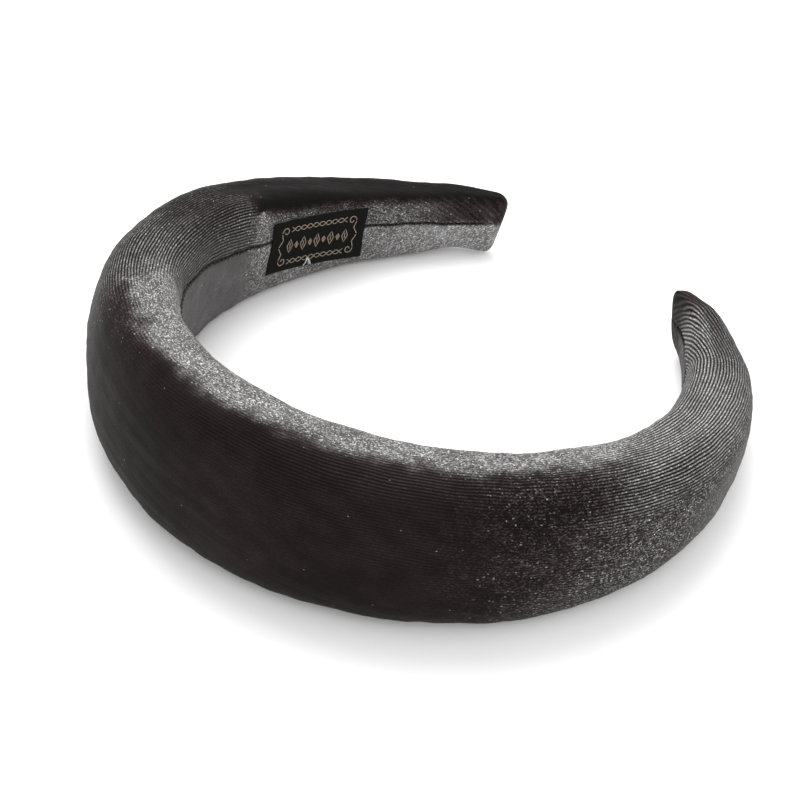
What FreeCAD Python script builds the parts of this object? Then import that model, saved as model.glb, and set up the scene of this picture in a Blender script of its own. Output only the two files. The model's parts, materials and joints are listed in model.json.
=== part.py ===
"""A padded velvet headband, lying on its lower edge.

It is modelled level first: the middle plane of the band is z = 0, the front of the crown faces -Y, the
two tips point to +Y and the axis of the round crown is the Z axis. A place on the band is given by
three numbers: along (from the middle of the crown, positive towards the right tip), out (from the
inner face outwards) and up (from the middle plane). The finished pieces are then leaned so that the
wide crown and the narrow arms all touch the table, and the origin is put under the middle of the box.
"""
import FreeCAD, Part
import math
import os

Vector = FreeCAD.Vector

# Line of the inner face, seen from above.
CROWN_RADIUS = 65.0
CROWN_HALF_ANGLE = math.radians(102.5)
ARM_RADIUS = 114.0
ARM_ANGLE = math.radians(34.0)

# Size of the band at shares of the way from the crown to a tip.
STATIONS = (0.0, 0.30, 0.55, 0.78, 0.92, 1.0)
WIDTHS = (46.0, 42.6, 33.7, 23.8, 19.2, 17.4)
THICKNESSES = (24.0, 23.9, 22.3, 18.8, 11.8, 6.2)

# Roundness of the section: 2 is an ellipse, more is squarer.
OUTER_POWER = 2.85
INNER_POWER = 5.4
EDGE_POWER = 2.4
INNER_OVERHANG = 1.0  # how far the rounded section would pass the inner face before it is cut flat

# Layers, from the inner face outwards.
COVER_THICKNESS = 1.0
GLUE_THICKNESS = 0.2
CORE_THICKNESS = 1.4
TAPE_THICKNESS = 0.3
CORE_WIDTH_SHARE = 0.56  # of the band's width
CORE_END_GAP = 5.0
INNER_END_GAP = 0.6  # more room at the ends of the padding than the cover's own thickness

# Hand-sewn seam on the inner face: it lies in a plane that falls from the crown to the tips.
SEAM_HEIGHT_AT_CENTRE = 5.2
SEAM_FALL = 0.083
SEAM_WIDTH = 1.0
SEAM_DEPTH = 0.6
STITCH_RADIUS = 0.2
STITCH_PITCH = 3.0
SEAM_END_GAP = 4.0
SEAM_LABEL_GAP = 1.0
END_BLOCK_SIZE = 30.0

# Stitches that close the folded end of the cover.
TIP_STITCH_COUNT = 5
TIP_STITCH_PITCH = 2.6
TIP_STITCH_LENGTH = 3.0
TIP_STITCH_RADIUS = 0.3
TIP_STITCH_DEPTH = 0.12

# Woven label on the inner face of the left arm.
LABEL_START = 111.4
LABEL_LENGTH = 31.4
LABEL_BOTTOM = -7.2
LABEL_HEIGHT = 15.9
LABEL_THICKNESS = 0.4
LABEL_GLUE_THICKNESS = 0.1
LABEL_GLUE_BORDER = 1.5  # bare edge of the label that the glue doesn't reach
LABEL_MARGIN = 3.0  # how far the label is made too thick before it is cut to its layer
THREAD_RADIUS = 0.25
THREAD_DEPTH = 0.12
THREAD_LENGTH = 2.4
THREAD_ALONG = 124.5

# The band is cut through the middle of the crown, where it flexes.
CUT_GAP = 0.1
LEAN = math.radians(5.8)

# How the surface of the band is laid out.
SURFACE_DEGREE = 3
SECTION_POLES = 28
LENGTH_ROWS = 45
STRIP_ROWS = 24
STRIP_MARGIN = 1.0  # how far a strip is made too thick before it is cut to its layer
TIP_ROWS = ((3.2, 1.0), (1.6, 1.0), (0.4, 0.97), (0.0, 0.80), (0.0, 0.30))  # back from the end, scale
TALL = 120.0

CROWN_ARC = CROWN_RADIUS * CROWN_HALF_ANGLE
HALF_LENGTH = CROWN_ARC + ARM_RADIUS * ARM_ANGLE
CORE_START = COVER_THICKNESS + GLUE_THICKNESS
TAPE_START = CORE_START + CORE_THICKNESS
FOAM_START = TAPE_START + TAPE_THICKNESS
BAND_THICKNESS = THICKNESSES[0]
SIDES = {"left": -1, "right": 1}


def arm_centre():
    """Centre of the arc of the right arm."""
    offset = CROWN_RADIUS - ARM_RADIUS
    return offset * math.sin(CROWN_HALF_ANGLE), -offset * math.cos(CROWN_HALF_ANGLE)


def band_point(along, out, up):
    """A place on the band as a point in space."""
    side = -1 if along < 0 else 1
    length = abs(along)
    if length <= CROWN_ARC:
        angle = length / CROWN_RADIUS
        centre_x, centre_y, radius = 0.0, 0.0, CROWN_RADIUS + out
    else:
        angle = CROWN_HALF_ANGLE + (length - CROWN_ARC) / ARM_RADIUS
        centre_x, centre_y = arm_centre()
        radius = ARM_RADIUS + out
    x = centre_x + radius * math.sin(angle)
    return Vector(side * x, centre_y - radius * math.cos(angle), up)


def slopes(values):
    """Slope of the smooth curve through the values at each station, with no overshoot."""
    steps = [b - a for a, b in zip(STATIONS, STATIONS[1:])]
    rises = [(b - a) / step for a, b, step in zip(values, values[1:], steps)]
    found = [0.0]
    for before, after in zip(rises, rises[1:]):
        found.append(0.0 if before * after <= 0 else 2 * before * after / (before + after))
    return found + [rises[-1]]


def at_share(values, share):
    """The value at a share of the way from the crown to a tip."""
    tangents = slopes(values)
    index = max(i for i in range(len(STATIONS) - 1) if STATIONS[i] <= share)
    step = STATIONS[index + 1] - STATIONS[index]
    t = (share - STATIONS[index]) / step
    start = (1 + 2 * t) * (1 - t) ** 2 * values[index] + t * (1 - t) ** 2 * step * tangents[index]
    end = t * t * (3 - 2 * t) * values[index + 1] - t * t * (1 - t) * step * tangents[index + 1]
    return start + end


def signed_power(value, power):
    return math.copysign(abs(value) ** power, value)


def section_ring(along, inset, scale):
    """Points round the band's section, drawn in by an inset and scaled about its middle."""
    share = min(abs(along) / HALF_LENGTH, 1.0)
    middle = at_share(THICKNESSES, share) / 2
    half_width = (at_share(WIDTHS, share) / 2 - inset) * scale
    half_out = (middle - inset) * scale
    half_in = (middle - inset + INNER_OVERHANG) * scale
    ring = []
    for i in range(SECTION_POLES):
        turn = 2 * math.pi * i / SECTION_POLES
        across = math.cos(turn)
        if across > 0:
            out = middle + half_out * across ** (2 / OUTER_POWER)
        else:
            out = middle - half_in * (-across) ** (2 / INNER_POWER)
        up = half_width * signed_power(math.sin(turn), 2 / EDGE_POWER)
        ring.append(band_point(along, out, up))
    return ring


def band_rows(end_gap):
    """Distances along the band, with a scale for each, from the left end to the right end."""
    last = HALF_LENGTH - end_gap - TIP_ROWS[0][0]
    middle = [last * (2 * i / (LENGTH_ROWS - 1) - 1) for i in range(LENGTH_ROWS)]
    tips = [(HALF_LENGTH - end_gap - back, scale) for back, scale in TIP_ROWS[1:]]
    left = [(-along, scale) for along, scale in reversed(tips)]
    return left + [(along, 1.0) for along in middle] + tips


def band_solid(inset, end_gap):
    """The whole band as one smooth closed solid, drawn in by an inset."""
    rings = [section_ring(along, inset, scale) for along, scale in band_rows(end_gap)]
    poles = [[ring[i] for ring in rings] for i in range(SECTION_POLES)]
    surface = Part.BSplineSurface()
    round_knots = list(range(SECTION_POLES + 1))
    long_knots = list(range(len(rings) - SURFACE_DEGREE + 1))
    end_mults = [SURFACE_DEGREE + 1]
    long_mults = end_mults + [1] * (len(long_knots) - 2) + end_mults
    round_mults = [1] * len(round_knots)
    degrees = (SURFACE_DEGREE, SURFACE_DEGREE)
    surface.buildFromPolesMultsKnots(
        poles, round_mults, long_mults, round_knots, long_knots, True, False, *degrees
    )
    side = surface.toShape()
    ends = [edge for edge in side.Edges if edge.isClosed()]
    caps = [Part.Face(Part.Wire(edge)) for edge in ends]
    shell = Part.Shell([side] + caps)
    shell.sewShape()
    return Part.Solid(shell)


def within(out):
    """A tall solid of everything nearer the middle than this distance outside the inner face."""
    knee = band_point(CROWN_ARC, out, -TALL)
    tip = band_point(HALF_LENGTH + CORE_END_GAP, out, -TALL)
    half_arm = band_point((CROWN_ARC + HALF_LENGTH) / 2, out, -TALL)
    mirror = [Vector(-p.x, p.y, p.z) for p in (knee, half_arm, tip)]
    edges = [
        Part.Arc(mirror[0], band_point(0, out, -TALL), knee).toShape(),
        Part.Arc(knee, half_arm, tip).toShape(),
        Part.LineSegment(tip, mirror[2]).toShape(),
        Part.Arc(mirror[2], mirror[1], mirror[0]).toShape(),
    ]
    return Part.Face(Part.Wire(edges)).extrude(Vector(0, 0, 2 * TALL))


def strip_outline(end, width_share, out):
    """Closed outline of a strip along the band, at a distance outside the inner face."""
    places = [end * (2 * i / STRIP_ROWS - 1) for i in range(STRIP_ROWS + 1)]
    halves = [at_share(WIDTHS, abs(along) / HALF_LENGTH) * width_share / 2 for along in places]
    lower = Part.BSplineCurve()
    lower.interpolate([band_point(along, out, -half) for along, half in zip(places, halves)])
    upper = Part.BSplineCurve()
    upper.interpolate([band_point(along, out, half) for along, half in zip(places, halves)])
    right = Part.LineSegment(lower.EndPoint, upper.EndPoint)
    left = Part.LineSegment(upper.StartPoint, lower.StartPoint)
    return Part.Wire([lower.toShape(), right.toShape(), upper.toShape(), left.toShape()])


def strip(start, thickness, width_share, end_gap):
    """A thin strip that follows the band and tapers with it."""
    inner = strip_outline(HALF_LENGTH - end_gap, width_share, start - STRIP_MARGIN)
    outer = strip_outline(HALF_LENGTH - end_gap, width_share, start + thickness + STRIP_MARGIN)
    thick = Part.makeLoft([inner, outer], True, True)
    return thick.common(within(start + thickness)).cut(within(start))


def seam_height(place):
    """Height of the seam at a point of the band."""
    return SEAM_HEIGHT_AT_CENTRE - SEAM_FALL * place.y


def seam_slab():
    """A thin slab that holds the seam."""
    slab = Part.makeBox(2 * TALL, 2 * TALL, SEAM_WIDTH, Vector(-TALL, -TALL, -SEAM_WIDTH / 2))
    slab.rotate(Vector(0, 0, 0), Vector(1, 0, 0), -math.degrees(math.atan(SEAM_FALL)))
    slab.translate(Vector(0, 0, SEAM_HEIGHT_AT_CENTRE))
    return slab


def seam_groove():
    """The shallow groove that the seam pulls into the inner face."""
    ends = [end_block(side, HALF_LENGTH - SEAM_END_GAP) for side in (-1, 1)]
    behind_label = label_block(-SEAM_LABEL_GAP)
    return within(SEAM_DEPTH).common(seam_slab()).cut(Part.makeCompound(ends + [behind_label]))


def end_block(side, along):
    """A block that covers the band past a place near one tip."""
    point = band_point(side * along, 0, 0)
    ahead = band_point(side * (along + 1), 0, 0) - point
    corner = Vector(0, -END_BLOCK_SIZE / 2, -END_BLOCK_SIZE / 2)
    block = Part.makeBox(END_BLOCK_SIZE, END_BLOCK_SIZE, END_BLOCK_SIZE, corner)
    block.rotate(Vector(0, 0, 0), Vector(0, 0, 1), math.degrees(math.atan2(ahead.y, ahead.x)))
    block.translate(point)
    return block


def seam_stitches(side):
    """Short stitches across the groove, from the crown to one tip."""
    tilt = math.atan(SEAM_FALL)
    across = Vector(0, math.sin(tilt), math.cos(tilt))
    count = int((HALF_LENGTH - SEAM_END_GAP) / STITCH_PITCH - 0.5)
    stitches = []
    for i in range(count):
        along = side * (i + 0.5) * STITCH_PITCH
        if LABEL_START - STITCH_PITCH < -along < LABEL_START + LABEL_LENGTH + STITCH_PITCH:
            continue
        middle = band_point(along, SEAM_DEPTH / 2, 0)
        middle.z = seam_height(middle)
        start = middle - across * (SEAM_WIDTH / 2)
        stitches.append(Part.makeCylinder(STITCH_RADIUS, SEAM_WIDTH, start, across))
    return Part.makeCompound(stitches)


def tip_stitches(side):
    """Small stitches over the folded end of the cover."""
    along = side * (HALF_LENGTH - TIP_STITCH_DEPTH)
    middle = THICKNESSES[-1] / 2
    start = band_point(along, middle - TIP_STITCH_LENGTH / 2, 0)
    direction = band_point(along, middle, 0) - start
    first = -TIP_STITCH_PITCH * (TIP_STITCH_COUNT - 1) / 2
    stitches = []
    for i in range(TIP_STITCH_COUNT):
        lift = Vector(0, 0, first + i * TIP_STITCH_PITCH)
        stitches.append(Part.makeCylinder(TIP_STITCH_RADIUS, TIP_STITCH_LENGTH, start + lift, direction))
    return Part.makeCompound(stitches)


def label_block(border):
    """A block over the label on the inner face of the left arm, drawn in by a border."""
    first = -LABEL_START - border
    last = -LABEL_START - LABEL_LENGTH + border
    corners = [
        band_point(first, -LABEL_MARGIN, LABEL_BOTTOM + border),
        band_point(last, -LABEL_MARGIN, LABEL_BOTTOM + border),
        band_point(last, LABEL_MARGIN, LABEL_BOTTOM + border),
        band_point(first, LABEL_MARGIN, LABEL_BOTTOM + border),
    ]
    outline = Part.Face(Part.makePolygon(corners + corners[:1]))
    return outline.extrude(Vector(0, 0, LABEL_HEIGHT - 2 * border))


def label_layer(start, thickness, border):
    """One layer of the label, which follows the inner face."""
    return label_block(border).common(within(start + thickness)).cut(within(start))


def label_thread():
    """The loose end of the thread at the label's lower edge."""
    start = band_point(-THREAD_ALONG, THREAD_DEPTH, LABEL_BOTTOM)
    return Part.makeCylinder(THREAD_RADIUS, THREAD_LENGTH, start, Vector(0, 0, -1))


def half_space(side):
    """Everything on one side of the cut through the crown."""
    start = CUT_GAP / 2 if side > 0 else -CUT_GAP / 2 - TALL
    return Part.makeBox(TALL, 2 * TALL, 2 * TALL, Vector(start, -TALL, -TALL))


def whole_layers():
    """The layers that run from tip to tip, before they are cut at the crown."""
    cavity = band_solid(COVER_THICKNESS, COVER_THICKNESS + INNER_END_GAP)
    padding = cavity.cut(within(FOAM_START))
    cover = band_solid(0, 0).cut(within(0)).cut(cavity.cut(within(COVER_THICKNESS))).cut(seam_groove())
    return {
        "cover": cover,
        "glue_film": strip(COVER_THICKNESS, GLUE_THICKNESS, CORE_WIDTH_SHARE, CORE_END_GAP),
        "core": strip(CORE_START, CORE_THICKNESS, CORE_WIDTH_SHARE, CORE_END_GAP),
        "foam_tape": strip(TAPE_START, TAPE_THICKNESS, CORE_WIDTH_SHARE, CORE_END_GAP),
        "foam": padding,
    }


def level_parts():
    """Every piece by name, before the band is leaned."""
    parts = {}
    layers = whole_layers()
    for name, side in SIDES.items():
        half = half_space(side)
        for layer, shape in layers.items():
            parts[f"{layer}_{name}"] = shape.common(half)
        parts[f"seam_stitches_{name}"] = seam_stitches(side)
        ends = tip_stitches(side)
        parts[f"tip_stitches_{name}"] = ends
        parts[f"cover_{name}"] = parts[f"cover_{name}"].cut(ends)
    label = label_layer(0, LABEL_THICKNESS, 0)
    glue = label_layer(LABEL_THICKNESS, LABEL_GLUE_THICKNESS, LABEL_GLUE_BORDER)
    thread = label_thread()
    parts["cover_left"] = parts["cover_left"].cut(label).cut(glue).cut(thread)
    parts["woven_label"] = label
    parts["label_glue"] = glue
    parts["label_thread"] = thread
    return parts


def leaned(shape, shift):
    """The piece in its place on the table."""
    placed = shape.copy()
    placed.rotate(Vector(0, 0, 0), Vector(1, 0, 0), -math.degrees(LEAN))
    placed.translate(shift)
    return placed


def table_shift(covers):
    """The move that puts the origin under the middle of the leaned band."""
    box = Part.makeCompound([leaned(cover, Vector(0, 0, 0)) for cover in covers]).optimalBoundingBox()
    return Vector(-box.Center.x, -box.Center.y, -box.ZMin)


def main():
    os.makedirs("parts", exist_ok=True)
    parts = level_parts()
    shift = table_shift([parts["cover_left"], parts["cover_right"]])
    for name, shape in parts.items():
        placed = leaned(shape, shift)
        placed.exportStep(f"parts/{name}.step")
        print(f"{name}: {len(placed.Solids)} solids, {placed.Volume:.1f} mm3, valid {placed.isValid()}")
    crown = Part.Vertex(Vector(0, -CROWN_RADIUS - BAND_THICKNESS, 0))
    centre = Part.Vertex(Vector(0, 0, 0))
    print("flex axis passes through", leaned(crown, shift).Point)
    print("head axis passes through", leaned(centre, shift).Point)


main()
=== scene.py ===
"""Looks of a padded velvet headband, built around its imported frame.

The band is described level, in millimetres: along (from the middle of the crown, positive on the right
arm), out (from the inner face outwards) and up (from the band's middle plane). placed() leans those
points and turns them into metres in the row frame, where the record's clamp mount says they belong.
"""

import json
import math

import bpy
import numpy as np
from mathutils import Matrix, Vector


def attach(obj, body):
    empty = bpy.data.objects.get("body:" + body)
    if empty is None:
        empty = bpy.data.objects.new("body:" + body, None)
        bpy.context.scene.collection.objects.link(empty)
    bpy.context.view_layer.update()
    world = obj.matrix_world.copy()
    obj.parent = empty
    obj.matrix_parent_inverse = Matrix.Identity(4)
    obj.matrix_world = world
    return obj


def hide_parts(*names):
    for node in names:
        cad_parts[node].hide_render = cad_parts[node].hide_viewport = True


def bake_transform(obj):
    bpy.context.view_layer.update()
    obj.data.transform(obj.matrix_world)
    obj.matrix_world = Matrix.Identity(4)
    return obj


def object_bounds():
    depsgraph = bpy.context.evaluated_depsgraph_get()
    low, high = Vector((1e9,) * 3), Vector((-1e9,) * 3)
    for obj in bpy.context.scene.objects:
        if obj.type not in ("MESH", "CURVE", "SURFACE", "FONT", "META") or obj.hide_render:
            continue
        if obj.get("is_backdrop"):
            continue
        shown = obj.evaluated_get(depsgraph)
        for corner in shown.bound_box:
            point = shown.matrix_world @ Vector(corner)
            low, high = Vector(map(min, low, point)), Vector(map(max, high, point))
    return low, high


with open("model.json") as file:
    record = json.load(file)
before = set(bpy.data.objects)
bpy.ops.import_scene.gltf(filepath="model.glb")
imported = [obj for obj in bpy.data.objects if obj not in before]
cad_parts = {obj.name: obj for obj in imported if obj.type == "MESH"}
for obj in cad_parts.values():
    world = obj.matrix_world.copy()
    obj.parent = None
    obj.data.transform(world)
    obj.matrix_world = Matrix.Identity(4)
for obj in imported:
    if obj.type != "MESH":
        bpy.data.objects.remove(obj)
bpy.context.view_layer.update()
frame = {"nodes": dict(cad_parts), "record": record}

# ---------------------------------------------------------------- sizes, in millimetres

# The band, as in the CAD model. Widths and thicknesses are at shares of the length of either half.
CROWN_RADIUS = 65.0
CROWN_HALF_ANGLE = math.radians(102.5)
ARM_RADIUS = 114.0
ARM_ANGLE = math.radians(34.0)
CROWN_ARC = CROWN_RADIUS * CROWN_HALF_ANGLE
HALF_LENGTH = CROWN_ARC + ARM_RADIUS * ARM_ANGLE

STATIONS = (0.0, 0.30, 0.55, 0.78, 0.92, 1.0)
WIDTHS = (46.0, 42.6, 33.7, 23.8, 19.2, 17.4)
THICKNESSES = (24.0, 23.9, 22.3, 18.8, 11.8, 6.2)
OUTER_POWER = 2.85
INNER_POWER = 5.4
EDGE_POWER = 2.4

COVER_THICKNESS = 1.0
GLUE_THICKNESS = 0.2
CORE_THICKNESS = 1.4
TAPE_THICKNESS = 0.3
CORE_WIDTH_SHARE = 0.56
CORE_END_GAP = 5.0
INNER_END_GAP = 0.6
CORE_START = COVER_THICKNESS + GLUE_THICKNESS
TAPE_START = CORE_START + CORE_THICKNESS
FOAM_START = TAPE_START + TAPE_THICKNESS

# Height of the seam on the inner face, at distances along either arm.
SEAM_PLACES = (0, 40, 62, 85, 110, 143, 173, 184)
SEAM_HEIGHTS = (11.0, 10.8, 10.0, 6.6, 3.3, 2.3, 1.3, 1.1)
SEAM_END_GAP = 4.0
GROOVE_DEPTH = 0.42  # the deepest that the cloth may sink, well short of its backing
STITCH_PITCH = 2.3
TIP_STITCH_COUNT = 5
TIP_STITCH_REACH = 4.6

FOAM_CLEARANCE = 0.02  # between the cover's backing and the foam
FOAM_END_CLEARANCE = 0.1

LABEL_MIDDLE = -127.1
LABEL_LENGTH = 31.4
LABEL_MIDDLE_UP = 0.75
LABEL_HEIGHT = 15.9
LABEL_STITCH_GAP = 1.2  # from the label to the nearest stitch of the seam

SEAM_THREAD_RADIUS = 0.16
TIP_THREAD_RADIUS = 0.2
BORDER_THREAD_RADIUS = 0.13
ORNAMENT_THREAD_RADIUS = 0.15
WHITE_THREAD_MIDDLE = -124.3  # along, at its bend
WHITE_THREAD_TOP = -4.3
WHITE_THREAD_FALL = 2.0

# The cloth.
RIB_PITCH = 0.79
RUN_OFF_START = 146  # along, where the ribs begin to leave the top line
PILE_DEPTH = 0.52  # reflectance of the pile where it is brightest
PILE_CONTRAST = 2.2  # power that turns lightness into reflectance
WAVE_COUNT = 9  # sine waves in each layer of noise
COVER_COLUMNS = 384
COVER_ROWS = 236
TIP_ROUND = 2.6  # length of the rounded ends of the cover
TIP_ROWS = 8
TIP_CURL_LENGTH = 20  # length of the right end that curls in

# The view: angles in degrees, places and distances in metres, the lens in millimetres.
CAMERA_AZIMUTH = 37.37
CAMERA_ELEVATION = 38.06
CAMERA_ROLL = 3.99
CAMERA_TARGET = (0.00761, -0.01426, 0.01985)
CAMERA_DISTANCE = 0.60025
CAMERA_LENS = 105.85

# Name, place and diameter in metres, and power in watts, of each light; then where they point.
LIGHTS = (("key", (-0.35, 0.25, 0.85), 0.8, 7.8), ("fill", (0.7, -0.6, 0.7), 0.9, 5.0))
LIGHT_AIM = (0, 0, 0.02)
FLOOR_SIZE = 6.0

MOUNT = next(m for m in frame["record"]["mounts"] if m["name"] == "head_clamp")
LEAN = math.atan2(MOUNT["axis"][1], MOUNT["axis"][2])
MM = 0.001


# ---------------------------------------------------------------- small mathematics

def smooth_step(low, high, value):
    t = np.clip((value - low) / (high - low), 0.0, 1.0)
    return t * t * (3 - 2 * t)


def bump(centre, width, value):
    """A smooth hump of height 1."""
    return np.exp(-(((value - centre) / width) ** 2))


def waves(x, y, size, seed):
    """Smooth noise from -1 to 1, whose features are about one size across."""
    rng = np.random.default_rng(seed)
    total = 0.0
    for turn, phase, stretch in rng.random((WAVE_COUNT, 3)):
        angle = turn * 2 * math.pi
        pace = 2 * math.pi / (size * (0.7 + stretch))
        total = total + np.sin((x * math.cos(angle) + y * math.sin(angle)) * pace + phase * 2 * math.pi)
    return total / math.sqrt(WAVE_COUNT) / 1.5


def through(places, values, at):
    """Smooth curve through values at places, with no overshoot."""
    x, y = np.array(places, float), np.array(values, float)
    step = np.diff(x)
    rise = np.diff(y) / step
    slope = np.zeros(len(x))
    both = rise[:-1] * rise[1:]
    slope[1:-1] = np.where(both > 0, 2 * both / np.where(both > 0, rise[:-1] + rise[1:], 1.0), 0.0)
    slope[-1] = rise[-1]
    at = np.clip(at, x[0], x[-1])
    i = np.clip(np.searchsorted(x, at, side="right") - 1, 0, len(x) - 2)
    t = (at - x[i]) / step[i]
    start = (1 + 2 * t) * (1 - t) ** 2 * y[i] + t * (1 - t) ** 2 * step[i] * slope[i]
    end = t * t * (3 - 2 * t) * y[i + 1] - t * t * (1 - t) * step[i] * slope[i + 1]
    return start + end


def signed_power(value, power):
    return np.sign(value) * np.abs(value) ** power


# ---------------------------------------------------------------- places on the band

def band_points(along, out, up):
    """Places on the band as level points in millimetres."""
    along, out, up = np.broadcast_arrays(
        np.asarray(along, float), np.asarray(out, float), np.asarray(up, float)
    )
    length = np.abs(along)
    on_arm = length > CROWN_ARC
    angle = np.where(on_arm, CROWN_HALF_ANGLE + (length - CROWN_ARC) / ARM_RADIUS, length / CROWN_RADIUS)
    offset = np.where(on_arm, CROWN_RADIUS - ARM_RADIUS, 0.0)
    radius = np.where(on_arm, ARM_RADIUS, CROWN_RADIUS) + out
    x = offset * math.sin(CROWN_HALF_ANGLE) + radius * np.sin(angle)
    y = -offset * math.cos(CROWN_HALF_ANGLE) - radius * np.cos(angle)
    return np.stack([np.where(along < 0, -x, x), y, up], axis=-1)


def placed(points):
    """Level points in millimetres as points of the row frame in metres."""
    points = np.asarray(points, float)
    x, y, z = points[..., 0], points[..., 1], points[..., 2]
    leaned = np.stack(
        [x, y * math.cos(LEAN) + z * math.sin(LEAN), -y * math.sin(LEAN) + z * math.cos(LEAN)], axis=-1
    )
    return leaned * MM + np.array(MOUNT["pos_m"])


def width_at(along):
    return through(STATIONS, WIDTHS, np.abs(along) / HALF_LENGTH)


def thickness_at(along):
    return through(STATIONS, THICKNESSES, np.abs(along) / HALF_LENGTH)


def seam_up(along):
    """Height of the seam on the inner face."""
    return through(SEAM_PLACES, SEAM_HEIGHTS, np.abs(along)) + 0.28 * waves(along, 0 * along, 9.0, 5)


# ---------------------------------------------------------------- mesh helpers

def mesh_object(name, vertices, faces):
    """A mesh object from level points in millimetres."""
    mesh = bpy.data.meshes.new(name)
    mesh.from_pydata(placed(np.asarray(vertices).reshape(-1, 3)).tolist(), [], faces)
    mesh.validate()
    mesh.polygons.foreach_set("use_smooth", [True] * len(mesh.polygons))
    mesh.update()
    made = bpy.data.objects.new(name, mesh)
    bpy.context.scene.collection.objects.link(made)
    return made


def tube_faces(rows, columns):
    """Quads of a tube whose rings follow one another, with the rings closed."""
    i = np.arange(rows - 1)[:, None] * columns
    j = np.arange(columns)[None, :]
    k = (j + 1) % columns
    quads = np.stack([i + j, i + k, i + columns + k, i + columns + j], axis=-1)
    return quads.reshape(-1, 4).tolist()


def ring_cap(first, columns, top, flip):
    """Faces that close the flattened last ring of a tube, from its top point down both sides."""
    faces = []
    for k in range(columns // 2):
        quad = [top + k, top + k + 1, top - k - 1, top - k]
        quad = list(dict.fromkeys(first + place % columns for place in quad))
        if len(quad) > 2:
            faces.append(quad[::-1] if flip else quad)
    return faces


def joined(name, parts):
    """One object from several (vertices, faces) lists."""
    vertices, faces = [], []
    for points, shapes in parts:
        base = len(vertices)
        vertices += [tuple(point) for point in points]
        faces += [[base + index for index in shape] for shape in shapes]
    return mesh_object(name, vertices, faces)


def capsule(path, radius, sides=8):
    """A thread along a list of level points, with rounded ends, as (vertices, faces)."""
    path = np.asarray(path, float)
    forward = np.gradient(path, axis=0)
    forward /= np.linalg.norm(forward, axis=1, keepdims=True)
    helper = np.array([0.3, 0.5, 0.81])
    side = np.cross(forward, helper)
    side /= np.linalg.norm(side, axis=1, keepdims=True)
    other = np.cross(forward, side)
    rings = [(0, -radius, 0.45), (0, -0.6 * radius, 0.8)]
    rings += [(i, 0.0, 1.0) for i in range(len(path))]
    rings += [(len(path) - 1, 0.6 * radius, 0.8), (len(path) - 1, radius, 0.45)]
    turns = np.arange(sides) / sides * 2 * math.pi
    vertices = []
    for i, ahead, share in rings:
        for turn in turns:
            around = side[i] * math.cos(turn) + other[i] * math.sin(turn)
            vertices.append(path[i] + forward[i] * ahead + around * radius * share)
    faces = tube_faces(len(rings), sides)
    last = (len(rings) - 1) * sides
    faces.append(list(range(sides))[::-1])
    faces.append([last + k for k in range(sides)])
    return vertices, faces


def crosses_crown(piece):
    """Bakes the piece's place into its mesh."""
    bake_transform(piece)


def add_map(piece, name, u, v):
    """A UV map whose coordinates are millimetres on the cloth."""
    layer = piece.data.uv_layers.new(name=name)
    corners = np.zeros(len(piece.data.loops), np.int32)
    piece.data.loops.foreach_get("vertex_index", corners)
    flat = np.stack([np.ravel(u)[corners], np.ravel(v)[corners]], axis=-1)
    layer.data.foreach_set("uv", flat.astype(np.float32).ravel())


def add_colours(piece, name, red, green, blue):
    """A colour attribute that the material reads as three shares."""
    layer = piece.data.color_attributes.new(name, "FLOAT_COLOR", "POINT")
    colours = np.stack([np.ravel(red), np.ravel(green), np.ravel(blue), np.ones(np.size(red))], axis=-1)
    layer.data.foreach_set("color", colours.astype(np.float32).ravel())


# ---------------------------------------------------------------- node helpers

class Shader:
    """A material whose nodes are added one after another."""

    def __init__(self, name):
        self.material = bpy.data.materials.new(name)
        self.material.use_nodes = True
        self.tree = self.material.node_tree
        self.surface = self.tree.nodes["Principled BSDF"]

    def add(self, kind, inputs=None, **settings):
        made = self.tree.nodes.new(kind)
        for key, value in settings.items():
            setattr(made, key, value)
        self.fill(made, inputs or {})
        return made

    def fill(self, made, inputs):
        for key, value in inputs.items():
            if isinstance(value, bpy.types.NodeSocket):
                self.tree.links.new(value, made.inputs[key])
            else:
                made.inputs[key].default_value = value

    def finish(self, **inputs):
        self.fill(self.surface, {key.replace("_", " "): value for key, value in inputs.items()})
        return self.material

    def maths(self, operation, *values, clamp=False):
        made = self.add("ShaderNodeMath", dict(enumerate(values)), operation=operation, use_clamp=clamp)
        return made.outputs[0]

    def mix(self, share, first, second):
        """Inputs 0, 6 and 7 of the node are its factor and its two colours."""
        made = self.add("ShaderNodeMix", data_type="RGBA", clamp_factor=True)
        self.fill(made, {0: share, 6: first, 7: second})
        return made.outputs[2]

    def scaled(self, vector, x, y, z=1.0):
        return self.add("ShaderNodeMapping", {"Vector": vector, "Scale": (x, y, z)}).outputs["Vector"]

    def noise(self, vector, scale, detail=2.0, roughness=0.5):
        inputs = {"Vector": vector, "Scale": scale, "Detail": detail, "Roughness": roughness}
        return self.add("ShaderNodeTexNoise", inputs).outputs["Fac"]

    def cells(self, vector, scale, randomness=1.0):
        inputs = {"Vector": vector, "Scale": scale, "Randomness": randomness}
        return self.add("ShaderNodeTexVoronoi", inputs)

    def bump(self, height, strength, distance):
        inputs = {"Height": height, "Strength": strength, "Distance": distance}
        return self.add("ShaderNodeBump", inputs).outputs["Normal"]

    def split(self, colour):
        return self.add("ShaderNodeSeparateColor", {"Color": colour}).outputs


# ---------------------------------------------------------------- section of the band

def tip_shift(along, up):
    """How much further along the folded ends reach at a height: both slant back to their lower corner."""
    near_end = smooth_step(HALF_LENGTH - 16, HALF_LENGTH, np.abs(along))
    height = np.clip(up / (WIDTHS[-1] / 2), -1.2, 1.2)
    corner = np.maximum(height - 0.6, 0) ** 2
    left = 0.3 + 1.6 * height - 4.0 * corner
    right = -0.9 + 1.5 * height - 3.6 * np.maximum(-height, 0) ** 2 - 3.0 * corner
    return np.sign(along) * near_end * np.where(along < 0, left, right)


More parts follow.
